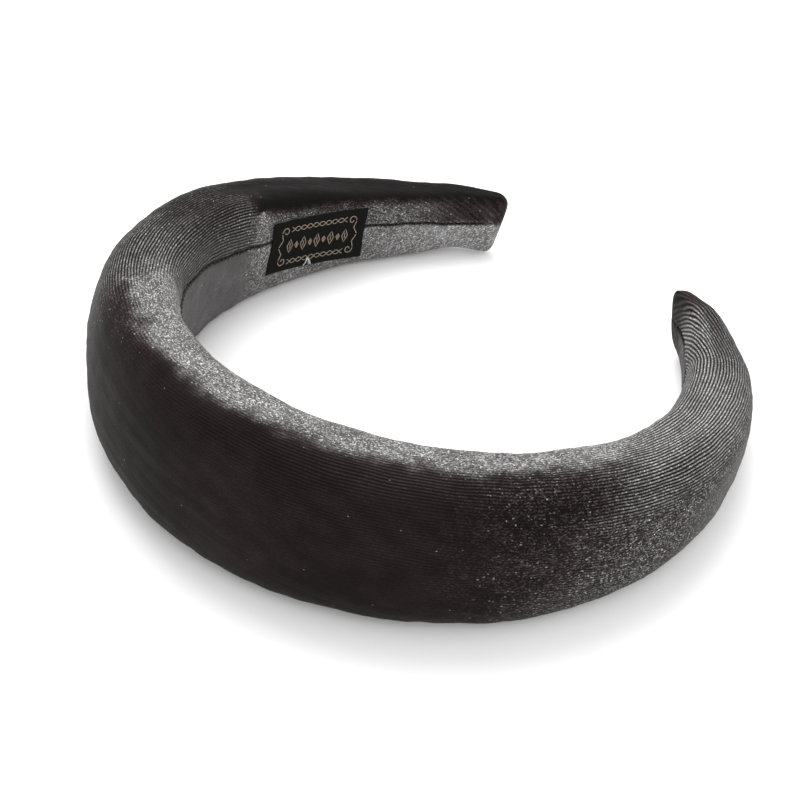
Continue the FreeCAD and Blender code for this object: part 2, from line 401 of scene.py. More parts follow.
def tip_curl(along, up):
    """How far the right end is curled in towards the head, most at its upper corner."""
    height = np.clip(up / (WIDTHS[-1] / 2), -1.2, 1.2)
    share = np.clip((along - HALF_LENGTH + TIP_CURL_LENGTH) / TIP_CURL_LENGTH, 0, 1)
    return (1.7 + 1.4 * height) * share ** 2


def section(along, inset, count, inner_limit):
    """Rings round the band: out and up of count points each, starting at the middle of the outer face."""
    turn = np.arange(count) / count * 2 * math.pi
    across, rise = np.cos(turn)[None, :], np.sin(turn)[None, :]
    middle = thickness_at(along)[:, None] / 2
    half = np.maximum(middle - inset, 0.05)
    power = np.where(across > 0, 2 / OUTER_POWER, 2 / INNER_POWER)
    out = middle + half * signed_power(across, power)
    up = (width_at(along)[:, None] / 2 - inset) * signed_power(rise, 2 / EDGE_POWER)
    return np.maximum(out, inner_limit), up


def edge_shape(along, up):
    """Heights after the cover has pulled the edges in and out near the folded ends."""
    length = np.abs(along)
    height = up / (width_at(along) / 2)
    upper, lower = smooth_step(0, 1, height), smooth_step(0.1, 1, -height)
    raised = 1.1 * smooth_step(160, 174, length) - 0.7 * bump(144, 15, length) + 1.2 * bump(-96, 20, along)
    drawn = np.where(along < 0, 1.5 * bump(171, 9, length), 1.7 * smooth_step(158, 172, length))
    return up + upper * raised + lower * drawn


def lining(inset, end_gap, inner_limit, rows=96, columns=96):
    """A closed solid that fills the band's section, drawn in by an inset."""
    along = np.linspace(-1, 1, rows) * (HALF_LENGTH - end_gap)
    out, up = section(along, inset, columns, inner_limit)
    along = along[:, None]
    up = edge_shape(along, up)
    vertices = band_points(along + tip_shift(along, up), out - tip_curl(along, up), up)
    faces = tube_faces(rows, columns)
    faces.append(list(range(columns))[::-1])
    faces.append([(rows - 1) * columns + k for k in range(columns)])
    return vertices.reshape(-1, 3), faces


def strip(name, start, thickness):
    """A thin strip that follows the band and tapers with it."""
    rows = 120
    along = np.linspace(-1, 1, rows) * (HALF_LENGTH - CORE_END_GAP)
    half = width_at(along) * CORE_WIDTH_SHARE / 2
    corner = min(0.25, thickness / 3)
    outline = [
        (corner, -1, 0), (thickness - corner, -1, 0), (thickness, -1, corner), (thickness, 1, corner),
        (thickness - corner, 1, 0), (corner, 1, 0), (0, 1, corner), (0, -1, corner),
    ]
    out = np.array([start + step for step, _, _ in outline])[None, :] - tip_curl(along, 0.0)[:, None]
    up = np.stack([side * (half - drawn) for _, side, drawn in outline], axis=1)
    faces = tube_faces(rows, len(outline))
    faces.append(list(range(len(outline)))[::-1])
    faces.append([(rows - 1) * len(outline) + k for k in range(len(outline))])
    along = along[:, None]
    return mesh_object(name, band_points(along + tip_shift(along, up), out, up), faces)


# ---------------------------------------------------------------- the velvet cover

def cover_rows():
    """Distances along the band, with the share of the section left at each rounded end."""
    turns = np.linspace(0.0, 0.93, TIP_ROWS + 1)[1:] * math.pi / 2
    last = HALF_LENGTH - TIP_ROUND
    middle = np.linspace(-last, last, COVER_ROWS - 2 * TIP_ROWS)
    tip = last + TIP_ROUND * np.sin(turns)
    drawn = TIP_ROUND * (1 - np.cos(turns))
    along = np.concatenate([-tip[::-1], middle, tip])
    inset = np.concatenate([drawn[::-1], 0 * middle, drawn])
    return along, inset


def even_rings(along, inset):
    """Rings whose points are evenly spaced, starting at the seam and going up, over the top, down the
    outer face and back along the lower edge. Also gives each point's distance from the top line."""
    dense = 1440
    quarter = dense // 4
    out, up = section(along, 0.0, dense, 0.0)
    middle = thickness_at(along)[:, None] / 2
    narrow = 1 - inset[:, None] / (width_at(along)[:, None] / 2)
    thin = 1 - np.minimum(inset[:, None], middle - 0.55) / middle
    out, up = middle + (out - middle) * thin, up * narrow
    steps = np.hypot(np.roll(out, -1, 1) - out, np.roll(up, -1, 1) - up)
    outs, ups, tops, rounds = [], [], [], []
    inner = np.arange(quarter, 3 * quarter)
    for row, place in enumerate(along):
        sewn = np.clip(place, -HALF_LENGTH + SEAM_END_GAP, HALF_LENGTH - SEAM_END_GAP)
        seam = float(seam_up(np.array([sewn]))[0])
        seam = min(seam * float(narrow[row, 0]), float(up[row].max()) * 0.8)
        start = inner[np.argmin(np.abs(up[row, inner] - seam))]
        order = (start - np.arange(dense + 1)) % dense
        walked = np.concatenate([[0.0], np.cumsum(steps[row][(order[:-1] - 1) % dense])])
        at = np.arange(COVER_COLUMNS) / COVER_COLUMNS * walked[-1]
        outs.append(np.interp(at, walked, out[row][order]))
        ups.append(np.interp(at, walked, up[row][order]))
        to_top = walked[np.argmax(order == quarter)]
        tops.append(at - to_top)
        rounds.append(walked[-1])
    reach = (steps[:, :quarter].sum(axis=1), steps[:, quarter:2 * quarter].sum(axis=1))
    return np.array(outs), np.array(ups), np.array(tops), np.array(rounds), reach


def normals_of(points):
    """Outward normals of rings of level points."""
    down = np.gradient(points, axis=0)
    around = np.roll(points, -1, 1) - np.roll(points, 1, 1)
    found = np.cross(around, down)
    return found / np.maximum(np.linalg.norm(found, axis=2, keepdims=True), 1e-9)


class Cloth:
    """Where every point of the cover lies on the band, and how its pile looks there."""

    def __init__(self):
        along, inset = cover_rows()
        self.out, self.up, self.from_top, around, self.reach = even_rings(along, inset)
        self.along = along[:, None] + 0 * self.out
        self.around = around[:, None]
        self.inner = smooth_step(0.42, 0.30, self.out / thickness_at(along)[:, None])
        from_seam = self.from_top - self.from_top[:, :1]
        self.to_seam = np.minimum(from_seam, self.around - from_seam)
        self.seam_share = smooth_step(HALF_LENGTH - 3, HALF_LENGTH - 7, np.abs(self.along))
        self.by_label = self.label_share()
        self.lay_ribs()
        self.lay_pile()

    def label_share(self):
        """1 under the label, falling to 0 just outside it."""
        past_end = np.abs(self.along - LABEL_MIDDLE) - LABEL_LENGTH / 2
        past_edge = np.abs(self.up - LABEL_MIDDLE_UP) - LABEL_HEIGHT / 2
        return smooth_step(1.5, 0.0, np.maximum(past_end, past_edge)) * self.inner

    def lay_ribs(self):
        """Distance across the ribs. They follow the top line and wander a little. Near the tips, where the
        band narrows, they run off over the top line, with a kink just inside it."""
        s, d = self.along, self.from_top
        past = np.maximum(np.abs(s) - RUN_OFF_START, 0)
        run_off = 0.30 * past * past / (past + 8) * (1 - 0.60 * smooth_step(-10, 2, d))
        turned = 0.30 * smooth_step(140, 156, np.abs(s)) * np.maximum(-6.0 - d, 0)
        wander = 0.30 * waves(s, d * 2.0, 24, 11) + 0.10 * waves(s, d * 1.2, 7, 12)
        kink = 0.45 * smooth_step(143, 156, np.abs(s)) * bump(-5.5, 1.3, d)
        self.across_ribs = d + turned + run_off + wander + kink

    def lay_pile(self):
        """Lightness of the pile, with painted sheen, highlight and shade in places, contrast of the ribs and
        amount of glitter, from 0 to 1.
        """
        s, d = self.along, self.from_top
        self.outer = 1 - self.inner
        self.outer_up = self.top_to(0) - d
        self.inner_up = np.where(d < self.top_to(0), d, d - self.around) + self.top_to(1)
        self.over_seam = self.up - seam_up(s)
        self.slow = waves(s, d, 24, 21)
        self.quick = waves(s, d, 8, 22)
        self.fine = waves(s, d, 3.2, 23)
        self.drift = 2.2 * self.quick + 1.2 * self.fine
        # The pile's lightness: its own crushed patches, with painted sheen, highlight and shade laid over it
        # by the brushes below.
        self.nap_and_light = 0.37 + 0.04 * self.slow + 0.03 * self.quick
        self.ribs = 0.50 + 0.15 * self.slow
        self.glitter = 0.40 + 0.10 * self.quick
        self.brush_right_arm()
        self.brush_left_shoulder()
        self.brush_crown()
        self.brush_left_arm()
        groove = bump(0, 0.40, self.to_seam) * self.seam_share
        self.nap_and_light = np.clip(self.nap_and_light * (1 - 0.8 * groove), 0, 1)
        self.ribs = np.clip(self.ribs * (1 - groove), 0, 1)
        self.glitter = np.clip(self.glitter * (1 - groove), 0, 1)

    def brush_right_arm(self):
        """Strong ribs over the top, plain pile low on the outer face with a painted sheen along its lower
        edge, and a painted shade at the end.
        """
        s, outer, outer_up, drift = self.along, self.outer, self.outer_up, self.drift
        arm = smooth_step(54, 84, s + 0.6 * drift)
        over = arm * smooth_step(6, 13, outer_up + 0.5 * drift)
        self.tone(over, 0.37 + 0.05 * self.slow, 0.95, 0.42)
        low = arm * outer * smooth_step(13, 5, outer_up + 0.5 * drift)
        self.tone(low, 0.25 + 0.03 * self.slow, 0.15, 0.85)
        # Painted sheen along the lower edge of the outer face, lighter and nearly without ribs.
        painted_sheen_edge = smooth_step(90, 112, s + 0.5 * drift) * outer * smooth_step(9, 2, outer_up)
        self.tone(painted_sheen_edge, 0.38, 0.10, 0.35)
        self.tone(bump(90, 17, s) * bump(15, 5.5, outer_up + 0.3 * drift) * 0.6, 0.23, 0.9, 0.40)
        self.tone(bump(98, 18, s) * smooth_step(15, 22, outer_up) * 0.7, 0.45, 0.95, 0.55)
        self.tone(smooth_step(130, 160, s) * outer, 0.27 + 0.03 * self.quick, 0.60, 0.35)
        self.tone(smooth_step(150, 165, s) * smooth_step(6, 1, outer_up), 0.36, 0.2, 0.45)
        # Painted shade at the end of the arm.
        self.tone(smooth_step(169, 178, s + 0.4 * drift), 0.17, 0.25, 0.06)

    def brush_left_shoulder(self):
        """Ribs above, with two dark patches, smooth pile below the seam, and a painted sheen low on the outer
        face.
        """
        s, outer_up, drift, over_seam = self.along, self.outer_up, self.drift, self.over_seam
        shoulder = smooth_step(-116, -104, s) * smooth_step(-40, -54, s + 0.6 * drift)
        self.tone(shoulder, 0.235 + 0.05 * self.slow + 0.02 * self.quick, 0.95, 0.42)
        by_seam = shoulder * self.inner * smooth_step(9, 3, over_seam + 0.3 * drift)
        self.tone(by_seam, 0.32, 0.45, 0.25)
        self.tone(shoulder * self.inner * smooth_step(1.0, -2.0, over_seam), 0.42, 0.08, 0.10)
        patch = 1.3 * bump(-95, 17, s + 0.6 * drift) * bump(26, 11, self.inner_up + drift)
        self.tone(patch, 0.10 + 0.04 * self.quick, 0.45, 0.40)
        patch = bump(-66, 12, s + 0.6 * drift) * bump(19, 4.5, outer_up + drift) * 0.8
        self.tone(patch, 0.18, 0.7, 0.35)
        # Painted sheen low on the outer face, where it turns away at a grazing angle.
        self.tone(shoulder * self.outer * smooth_step(12, 4, outer_up), 0.27, 0.3, 0.3)

    def brush_crown(self):
        """Nearly black in front, partly the nap and partly painted shade, with glitter towards both sides,
        and a pale grey painted sheen along the rim.
        """
        s, outer_up, quick, drift = self.along, self.outer_up, self.quick, self.drift
        soft = smooth_step(-14, -44, s)
        edge = outer_up + (0.7 + 0.9 * soft) * quick + (0.7 + 0.3 * soft) * self.fine
        # The front of the crown is nearly black: partly the crushed nap, partly painted shade on the side
        # turned away from the light.
        front = smooth_step(-58, -38, s + 0.6 * drift)
        front = front * smooth_step(86, 60, s + 0.8 * drift - 0.4 * outer_up)
        front = front * smooth_step(29.6 + 1.2 * soft, 23.4 - 3.0 * soft, edge) * self.outer
        by_rim = smooth_step(-5, 40, s) * smooth_step(14, 23, outer_up)
        sparkle = 0.05 + 0.33 * smooth_step(12, 24, outer_up + quick) * soft
        sparkle = sparkle + 0.42 * smooth_step(40, 68, s + drift)
        dark = 0.112 + 0.020 * self.slow + 0.016 * quick + 0.03 * by_rim
        self.tone(front, dark, 0.06 + 0.22 * by_rim, sparkle)
        # Painted sheen along the top rim, which faces up into the light: pale grey with dense glitter.
        rim = smooth_step(-66, -46, s + 0.5 * drift) * smooth_step(108, 78, s)
        rim = rim * smooth_step(23.4 - 1.6 * soft, 30.2 + 1.2 * soft, edge)
        painted_rim_sheen = 0.50 + 0.03 * quick + 0.03 * self.slow
        rim_ribs = 0.06 + 0.30 * smooth_step(45, 80, s)
        self.tone(rim * smooth_step(-26, -16, self.from_top), painted_rim_sheen, rim_ribs, 0.85)
        # A painted highlight along the rim, just above the dark front.
        self.tone(rim * bump(29.5, 2.5, edge) * bump(-20, 20, s) * 0.5, 0.57, 0.04, 0.95)

    def brush_left_arm(self):
        """A nearly black band above, glitter round the label and below the seam."""
        s, inner, quick, over_seam = self.along, self.inner, self.quick, self.over_seam
        arm = smooth_step(-101, -110, s + self.drift)
        self.tone(arm * inner, 0.38 + 0.02 * quick, 0.12, 0.75)
        below = arm * inner * smooth_step(0.3, -0.6, over_seam)
        self.tone(below, 0.475 + 0.09 * smooth_step(-140, -170, s), 0.08, 0.72)
        near_tip = smooth_step(-156, -172, s + self.drift) * smooth_step(0, 1.5, over_seam)
        self.tone(near_tip * inner, 0.19 + 0.05 * quick, 0.12, 0.18)
        self.tone(bump(-161, 5, s) * bump(5, 2.5, over_seam) * inner * 0.8, 0.38, 0.15, 0.45)
        self.tone(arm * self.outer, 0.17 + 0.03 * self.slow + 0.03 * quick, 0.35, 0.25)
        edge = self.inner_up - 11.2 - 0.05 * (s + 125) + 0.6 * quick + 0.5 * self.fine
        behind = self.outer * smooth_step(10, -3, self.outer_up + 1.5 * self.drift)
        above = smooth_step(-2.8, 1.5, edge) * (1 - behind)
        self.tone(arm * above, 0.055 + 0.012 * quick, 0.05, 0.08)
        beside = bump(-108.5, 3.5, s) * inner * smooth_step(-3.0, 0.0, self.inner_up)
        self.tone(beside * smooth_step(0.6, -0.6, edge), 0.47, 0.10, 0.9)

    def tone(self, share, nap_and_light, ribs, glitter):
        """Moves the pile towards these values where share is 1."""
        share = np.clip(share, 0, 1)
        self.nap_and_light = self.nap_and_light + (nap_and_light - self.nap_and_light) * share
        self.ribs = self.ribs + (ribs - self.ribs) * share
        self.glitter = self.glitter + (glitter - self.glitter) * share

    def top_to(self, face):
        """Distance round the band from the top line to the middle of the outer (0) or inner (1) face."""
        return self.reach[face][:, None]

    def relief(self):
        """Height of the cloth over the smooth band, in millimetres."""
        s, d = self.along, self.from_top
        crushed = 0.20 * waves(s, d, 19, 32) + 0.10 * waves(s, d, 7, 33) + 0.05 * waves(s, d, 3.0, 34)
        calm = 0.45 + 0.55 * smooth_step(HALF_LENGTH - 4, HALF_LENGTH - 9, np.abs(s))
        pulled = 0.5 + 0.5 * np.cos(2 * math.pi * s / STITCH_PITCH)
        seam = (0.32 + 0.18 * pulled) * bump(0, 0.45, self.to_seam)
        lips = 0.16 * bump(1.5, 0.8, self.to_seam) * (1 - 0.8 * pulled)
        lips = lips - 0.12 * pulled * bump(1.6, 1.2, self.to_seam)
        height = crushed * calm + (lips - seam) * self.seam_share
        height = np.maximum(height, -GROOVE_DEPTH)
        return height * (1 - self.by_label) - 0.15 * self.by_label

    def vertices(self):
        up = edge_shape(self.along, self.up)
        along = self.along + tip_shift(self.along, up)
        points = band_points(along, self.out - tip_curl(self.along, up), up)
        return points + normals_of(points) * self.relief()[..., None]


def velvet_cover(cloth):
    """The cover: its cloth outside, and the plain backing that lies against the padding."""
    vertices = cloth.vertices()
    rows, columns = vertices.shape[:2]
    faces = tube_faces(rows, columns)
    for row, flip in ((0, False), (rows - 1, True)):
        top = int(np.argmin(np.abs(cloth.from_top[row])))
        faces += ring_cap(row * columns, columns, top, flip)
    backing, backing_faces = lining(COVER_THICKNESS, COVER_THICKNESS + INNER_END_GAP, COVER_THICKNESS)
    start = rows * columns
    faces += [[start + index for index in face[::-1]] for face in backing_faces]
    spare = np.zeros(len(backing))
    cover = mesh_object("velvet_cover", np.concatenate([vertices.reshape(-1, 3), backing]), faces)
    add_map(cover, "cloth", np.append(cloth.along, spare), np.append(cloth.from_top, spare))
    add_map(cover, "ribs", np.append(cloth.along, spare), np.append(cloth.across_ribs, spare))
    add_colours(cover, "pile", *(np.append(share, spare) for share in (cloth.nap_and_light, cloth.ribs, cloth.glitter)))
    return cover


# ---------------------------------------------------------------- stitches and label

def seam_stitches():
    """Short slanted stitches that pull the seam together on the inner face."""
    rng = np.random.default_rng(41)
    parts = []
    count = int((HALF_LENGTH - SEAM_END_GAP) / STITCH_PITCH)
    for i in range(-count, count + 1):
        along = (i + 0.16 * (rng.random() - 0.5)) * STITCH_PITCH
        if abs(along - LABEL_MIDDLE) < LABEL_LENGTH / 2 + LABEL_STITCH_GAP:
            continue
        reach = 0.75 + 0.2 * rng.random()
        lean = 0.45 + 0.25 * rng.random()
        share = np.linspace(-1, 1, 7)
        middle = float(seam_up(np.array([along]))[0])
        out = 0.04 + 0.45 * share ** 2
        out = out - tip_curl(np.array(along), middle)
        path = band_points(along + lean * share, out, middle + reach * share)
        parts.append(capsule(path, SEAM_THREAD_RADIUS))
    return joined("seam_stitches", parts)


def tip_stitches(side, name):
    """Small stitches over the folded end of the cover."""
    rng = np.random.default_rng(43)
    middle = THICKNESSES[-1] / 2
    parts = []
    for up in np.linspace(-TIP_STITCH_REACH, TIP_STITCH_REACH, TIP_STITCH_COUNT):
        share = np.linspace(-1, 1, 7)
        end = side * (HALF_LENGTH - 0.12 - 0.5 * share ** 2)
        shifted = end + tip_shift(end, up)
        out = middle + 1.5 * share - tip_curl(end, up)
        slant = 0.5 * (rng.random() - 0.2)
        parts.append(capsule(band_points(shifted, out, up + slant * share), TIP_THREAD_RADIUS))
    return joined(name, parts)


def label_place(across, rise, out):
    """A place on the label: across from its crown end (-1) to its tip end (1), and rise from -1 to 1.
    The label is cut a little askew and bulges gently."""
    along = LABEL_MIDDLE - across * LABEL_LENGTH / 2
    up = LABEL_MIDDLE_UP + rise * LABEL_HEIGHT / 2 - 0.3 * across
    along = along - rise * (0.6 - 0.2 * across)
    along = along + 0.35 * bump(0, 0.5, rise) * signed_power(across, 8)
    bulge = -0.30 - 0.22 * (1 - across ** 2) * (1 - rise ** 2) + 0.06 * waves(along, up, 9, 51)
    return band_points(along, bulge + out, up)


def woven_label():
    """The label: a thin satin rectangle with folded ends."""
    columns, rows = 97, 49
    across, rise = np.meshgrid(np.linspace(-1, 1, columns), np.linspace(-1, 1, rows))
    edge = np.maximum(np.abs(across) ** 24, np.abs(rise) ** 16)
    front = label_place(across, rise, 0.16 * edge)
    back = label_place(across * 0.998, rise * 0.996, 0.42 - 0.1 * edge)
    vertices = np.concatenate([front.reshape(-1, 3), back.reshape(-1, 3)])
    faces = []
    size = rows * columns
    for r in range(rows - 1):
        for c in range(columns - 1):
            quad = [r * columns + c, r * columns + c + 1, (r + 1) * columns + c + 1, (r + 1) * columns + c]
            faces.append(quad)
            faces.append([size + index for index in quad[::-1]])
    rim = list(range(columns - 1))
    rim += [r * columns + columns - 1 for r in range(rows - 1)]
    rim += [(rows - 1) * columns + c for c in range(columns - 1, 0, -1)]
    rim += [r * columns for r in range(rows - 1, 0, -1)]
    for first, second in zip(rim, rim[1:] + rim[:1]):
        faces.append([second, first, size + first, size + second])
    label = mesh_object("woven_label", vertices, faces)
    u = np.concatenate([across.ravel(), across.ravel()]) * LABEL_LENGTH / 2
    v = np.concatenate([rise.ravel(), rise.ravel()]) * LABEL_HEIGHT / 2
    add_map(label, "cloth", u, v)
    return label


def label_ornament():
    """Pale woven threads on the label: a twisted border with curled ends round a row of small diamonds."""
    parts = []

    def lay(corners, radius):
        points = []
        for (a0, r0), (a1, r1) in zip(corners, corners[1:]):
            span = math.hypot((a1 - a0) * LABEL_LENGTH / 2, (r1 - r0) * LABEL_HEIGHT / 2)
            steps = max(3, int(span / 0.7))
            points += [(a0 + (a1 - a0) * t, r0 + (r1 - r0) * t) for t in np.arange(steps) / steps]
        points.append(corners[-1])
        across, rise = np.array(points).T
        parts.append(capsule(label_place(across, rise, -0.02), radius, 6))

    for side in (-1, 1):
        chain = np.linspace(-0.58, 0.58, 61)
        for phase in (0, math.pi):
            swing = 0.085 * np.sin(chain * 24 + phase)
            lay([(a, side * 0.64 + b) for a, b in zip(chain, swing)], BORDER_THREAD_RADIUS)
        for end in (-1, 1):
            turn = np.linspace(0, 1.9 * math.pi, 16)
            size = np.linspace(0.085, 0.025, 16)
            curl_across = end * (0.70 + size * np.cos(turn))
            curl_rise = side * (0.58 + 2.2 * size * np.sin(turn))
            lay(list(zip(curl_across, curl_rise)), ORNAMENT_THREAD_RADIUS)
            stem = [(end * 0.785, side * 0.50), (end * 0.75, side * 0.28), (end * 0.82, side * 0.04)]
            lay(stem, ORNAMENT_THREAD_RADIUS)
    for i in range(-4, 5):
        centre = i * 0.145
        size, tall = (0.060, 0.27) if i % 2 == 0 else (0.034, 0.13)
        ring = [(centre - size, 0), (centre, tall), (centre + size, 0), (centre, -tall), (centre - size, 0)]
        lay(ring, ORNAMENT_THREAD_RADIUS)
        lay([(centre, -tall / 3), (centre, tall / 3)], ORNAMENT_THREAD_RADIUS)
    return joined("label_ornament", parts)


def label_thread():
    """The loose white thread end below the label: a bend with two short tails."""
    rng = np.random.default_rng(47)
    parts = []
    for tail, turn in ((-1.0, 0.9), (1.0, 1.1), (-0.5, 0.7)):
        share = np.linspace(0, 1, 12)
        along = WHITE_THREAD_MIDDLE + tail * 0.9 * share ** turn + 0.03 * rng.standard_normal(12).cumsum()
        up = WHITE_THREAD_TOP - WHITE_THREAD_FALL * share + 0.15 * np.sin(share * 5 + tail)
        out = -0.85 - 0.2 * np.sin(share * 3)
        parts.append(capsule(band_points(along, out, up), 0.16 if abs(tail) == 1 else 0.11, 7))
    return joined("label_thread", parts)


# ---------------------------------------------------------------- materials

def velvet():
    """Crushed velvet with a fine rib and a metallic thread in it. Its colour carries painted light: sheen,
    highlights on the rib crests, shade in their valleys, and glints.
    """
    m = Shader("velvet")
    place = m.add("ShaderNodeUVMap", uv_map="cloth").outputs["UV"]
    pile = m.split(m.add("ShaderNodeAttribute", attribute_name="pile").outputs["Color"])
    nap_and_light, ribs, glitter = pile["Red"], pile["Green"], pile["Blue"]
    rib_place = m.add("ShaderNodeUVMap", uv_map="ribs").outputs["UV"]
    across = m.add("ShaderNodeSeparateXYZ", {"Vector": rib_place}).outputs["Y"]
    wave = m.maths("COSINE", m.maths("MULTIPLY", across, 2 * math.pi / RIB_PITCH))
    dashes = m.noise(m.scaled(rib_place, 0.75, 1.28), 1.0, 2.0, 0.65)
    mottle = m.noise(m.scaled(place, 0.16, 0.2), 1.0, 4.0, 0.6)
    grain = m.noise(m.scaled(place, 1.9, 2.6), 1.0, 2.0, 0.7)
    cells = m.cells(m.scaled(place, 2.9, 3.6), 1.0)
    chance = m.split(cells.outputs["Color"])

    # Painted light on the ribs: lighter crests and darker valleys, broken into dashes.
    rib_highlight_and_shade = m.maths("MULTIPLY", wave, m.maths("MULTIPLY_ADD", dashes, 2.2, -0.25))
    rib_highlight_and_shade = m.maths("MULTIPLY", rib_highlight_and_shade, m.maths("MULTIPLY", ribs, 0.40))
    light = m.maths("MULTIPLY", nap_and_light, m.maths("MULTIPLY_ADD", mottle, 0.5, 0.75))
    light = m.maths("ADD", light, rib_highlight_and_shade)
    fuzz = m.maths("MULTIPLY_ADD", grain, 1.0, -0.5)
    light = m.maths("MULTIPLY_ADD", fuzz, m.maths("MULTIPLY_ADD", nap_and_light, 0.45, 0.02), light)
    # The metallic thread: pale cells whose brightness is mostly painted glints, strongest on the rib crests.
    glint = m.maths("MULTIPLY_ADD", m.maths("POWER", chance["Red"], 3.0), 0.62, -0.13)
    crest = m.maths("MULTIPLY_ADD", m.maths("MULTIPLY", wave, ribs), 0.5, 1.0)
    glint = m.maths("MULTIPLY", glint, m.maths("MULTIPLY", glitter, crest))
    light = m.maths("ADD", light, glint)
    # A few painted sparkles, brighter still.
    often = m.maths("MULTIPLY", m.maths("MULTIPLY", glitter, glitter), m.maths("MULTIPLY", crest, mottle))
    painted_sparkle = m.maths("GREATER_THAN", chance["Green"], m.maths("MULTIPLY_ADD", often, -0.14, 0.99992))
    light = m.maths("MULTIPLY_ADD", painted_sparkle, 0.36, light, clamp=True)
    tones = m.add("ShaderNodeValToRGB", {"Fac": light})
    steps = tones.color_ramp.elements
    steps[0].position, steps[0].color = 0.0, (0.0008, 0.0006, 0.0006, 1)
    steps[1].position, steps[1].color = 1.0, (PILE_DEPTH, 0.99 * PILE_DEPTH, 0.98 * PILE_DEPTH, 1)
    for position in (0.08, 0.15, 0.25, 0.35, 0.45, 0.6, 0.8):
        bright = PILE_DEPTH * position ** PILE_CONTRAST
        warm = 0.95 * (1 - position) ** 6
        red, green, blue = bright * (1 + warm), bright * (1 - 0.5 * warm), bright * (1 - 0.6 * warm)
        steps.new(position).color = (red, green, blue, 1)

    height = m.maths("ADD", grain, m.maths("MULTIPLY", wave, m.maths("MULTIPLY", ribs, 0.4)))
    shine = m.maths("MULTIPLY", m.maths("GREATER_THAN", chance["Red"], 0.93), glitter)
    return m.finish(
        Base_Color=tones.outputs["Color"],
        Roughness=m.maths("MULTIPLY_ADD", shine, -0.3, 0.7),
        Metallic=m.maths("MULTIPLY", shine, 0.5),
        Normal=m.bump(height, 0.6, 0.00022),
        Sheen_Weight=0.03,
        Sheen_Roughness=0.4,
        Specular_IOR_Level=0.08,
    )


def thread(name, dark, light, pitch):
    """Twisted thread: strands that lean across it."""
    m = Shader(name)
    place = m.add("ShaderNodeTexCoord").outputs["Object"]
    size = m.scaled(place, 1000, 1000, 1000)
    twist = {"Vector": size, "Scale": 1 / pitch, "Distortion": 1.5, "Detail": 2.0}
    strands = m.add("ShaderNodeTexWave", twist)
    fuzz = m.noise(size, 4.0, 3.0, 0.6)
    share = m.maths("MULTIPLY_ADD", strands.outputs["Fac"], 0.6, m.maths("MULTIPLY", fuzz, 0.4))
    return m.finish(
        Base_Color=m.mix(share, dark, light),
        Roughness=m.maths("MULTIPLY_ADD", fuzz, 0.2, 0.6),
        Normal=m.bump(share, 0.6, 0.00008),
        Sheen_Weight=0.05,
        Specular_IOR_Level=0.2,
    )


def label_weave():
    """Satin weave, greenish black, with the fine steps of its warp."""
    m = Shader("label_weave")
    place = m.add("ShaderNodeUVMap", uv_map="cloth").outputs["UV"]
    warp = m.add("ShaderNodeTexWave", {"Vector": place, "Scale": 1.1, "Distortion": 0.4, "Detail": 1.0})
    warp.bands_direction = "Y"
    weft = m.add("ShaderNodeTexWave", {"Vector": place, "Scale": 1.6, "Distortion": 0.6, "Detail": 1.0})
    floats = m.cells(m.scaled(place, 2.2, 4.4), 1.0, 0.35)
    wear = m.noise(m.scaled(place, 0.25, 0.3), 1.0, 4.0, 0.6)
    height = m.maths("MULTIPLY_ADD", warp.outputs["Fac"], 0.6, m.maths("MULTIPLY", weft.outputs["Fac"], 0.25))
    height = m.maths("MULTIPLY_ADD", floats.outputs["Distance"], -0.35, height)
    share = m.maths("MULTIPLY_ADD", height, 0.5, m.maths("MULTIPLY", wear, 0.45), clamp=True)
    return m.finish(
        Base_Color=m.mix(share, (0.002, 0.0022, 0.0018, 1), (0.009, 0.0095, 0.0078, 1)),
        Roughness=m.maths("MULTIPLY_ADD", wear, 0.2, 0.62),
        Normal=m.bump(height, 0.5, 0.00009),
        Specular_IOR_Level=0.06,
    )


def speckled(name, dark, light, scale, roughness, depth, **extra):
    """A plain stuff with grain, for the layers inside."""
    m = Shader(name)
    place = m.add("ShaderNodeTexCoord").outputs["Object"]
    grain = m.noise(place, scale, 4.0, 0.65)
    clouds = m.noise(place, scale / 14, 3.0, 0.5)
    cells = m.cells(place, scale * 0.8)
    share = m.maths("MULTIPLY_ADD", grain, 0.6, m.maths("MULTIPLY", clouds, 0.4))
    height = m.maths("MULTIPLY_ADD", cells.outputs["Distance"], 0.6, m.maths("MULTIPLY", grain, 0.4))
    return m.finish(
        Base_Color=m.mix(share, dark, light),
        Roughness=m.maths("MULTIPLY_ADD", grain, 0.15, roughness),
        Normal=m.bump(height, 0.6, depth),
        **extra,
    )


# ---------------------------------------------------------------- the pieces

cloth = Cloth()
cover = velvet_cover(cloth)
foam_gap = COVER_THICKNESS + INNER_END_GAP + FOAM_END_CLEARANCE
foam = mesh_object("foam_pad", *lining(COVER_THICKNESS + FOAM_CLEARANCE, foam_gap, FOAM_START))
core = strip("core_strip", CORE_START, CORE_THICKNESS)
tape = strip("foam_tape", TAPE_START, TAPE_THICKNESS)
film = strip("glue_film", COVER_THICKNESS, GLUE_THICKNESS)
stitches = seam_stitches()
left_tip = tip_stitches(-1, "tip_stitches_left")
right_tip = tip_stitches(1, "tip_stitches_right")
label = woven_label()
ornament = label_ornament()
tuft = label_thread()

